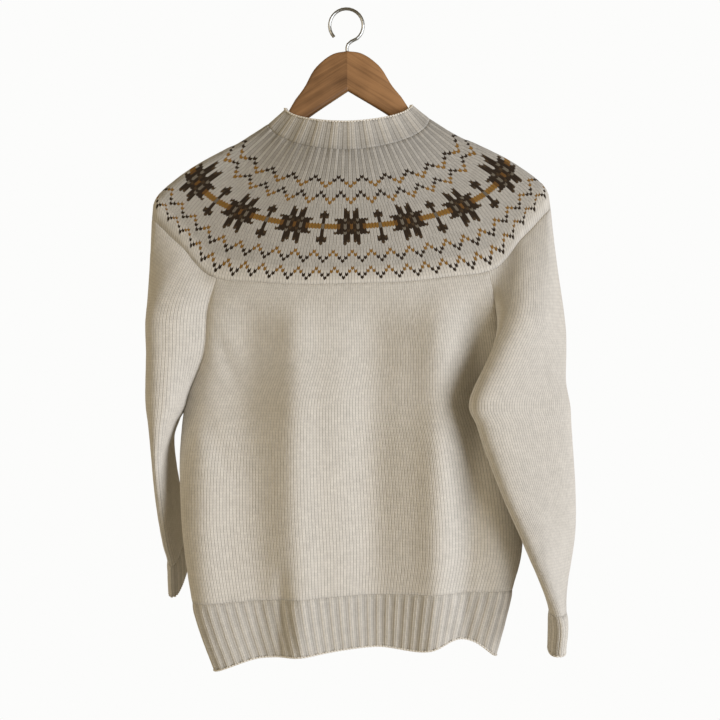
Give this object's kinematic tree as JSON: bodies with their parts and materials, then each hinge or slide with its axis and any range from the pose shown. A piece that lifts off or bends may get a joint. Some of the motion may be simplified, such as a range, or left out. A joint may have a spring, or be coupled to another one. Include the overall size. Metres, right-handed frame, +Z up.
{
  "type": "fair isle jumper on a wooden hanger",
  "caption": "Cream wool jumper with a patterned circular yoke and ribbed neck, hem and cuffs, hanging on a wooden hanger with a wire hook.",
  "frame": {"origin": "inside top of the hook, where it bears on what holds it up", "axes": "+X to the right seen from the side the jumper shows, -Y towards that side, +Z up"},
  "size_m": [0.4761, 0.2407, 0.7388],
  "materials": {
    "wool": "matte knitted",
    "beech": "satin varnished",
    "steel": "satin"
  },
  "bodies": {
    "root": {"neckband": "wool", "yoke": "wool", "body_front": "wool", "body_back": "wool", "hem_rib_front": "wool", "hem_rib_back": "wool", "sleeve_left_shoulder": "wool", "sleeve_left_elbow": "wool", "sleeve_left_forearm": "wool", "sleeve_right_shoulder": "wool", "sleeve_right_elbow": "wool", "sleeve_right_forearm": "wool", "cuff_left": "wool", "cuff_right": "wool", "hanger_arm_left": "beech", "hanger_arm_right": "beech", "hanger_hook": "steel"}
  },
  "joints": []
}
